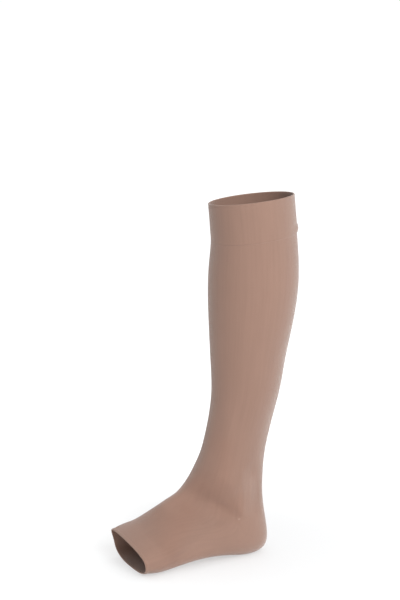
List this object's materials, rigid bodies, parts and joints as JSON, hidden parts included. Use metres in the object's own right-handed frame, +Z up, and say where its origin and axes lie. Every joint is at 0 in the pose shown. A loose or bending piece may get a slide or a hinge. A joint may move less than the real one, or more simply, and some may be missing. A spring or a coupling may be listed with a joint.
{
  "type": "compression stocking",
  "caption": "Knee-high compression stocking for a left leg, in its worn hollow form, with a doubled top band, a turned heel and an open toe.",
  "frame": {"origin": "centre of the top opening, where the band grips the leg", "axes": "+Z up the leg, -Y towards the toes, +X towards the outer side of the left leg"},
  "size_m": [0.1057, 0.2153, 0.4317],
  "materials": {
    "band_knit": "matte taupe fine elastic knit, folded double",
    "leg_knit": "matte taupe fine elastic knit with faint lengthwise wales and a soft sheen at grazing angles",
    "toe_knit": "matte taupe fine elastic knit, slightly firmer, with a turned edge"
  },
  "bodies": {
    "root": {"top_band": "band_knit", "leg_and_foot": "leg_knit", "toe_band": "toe_knit"}
  },
  "joints": []
}
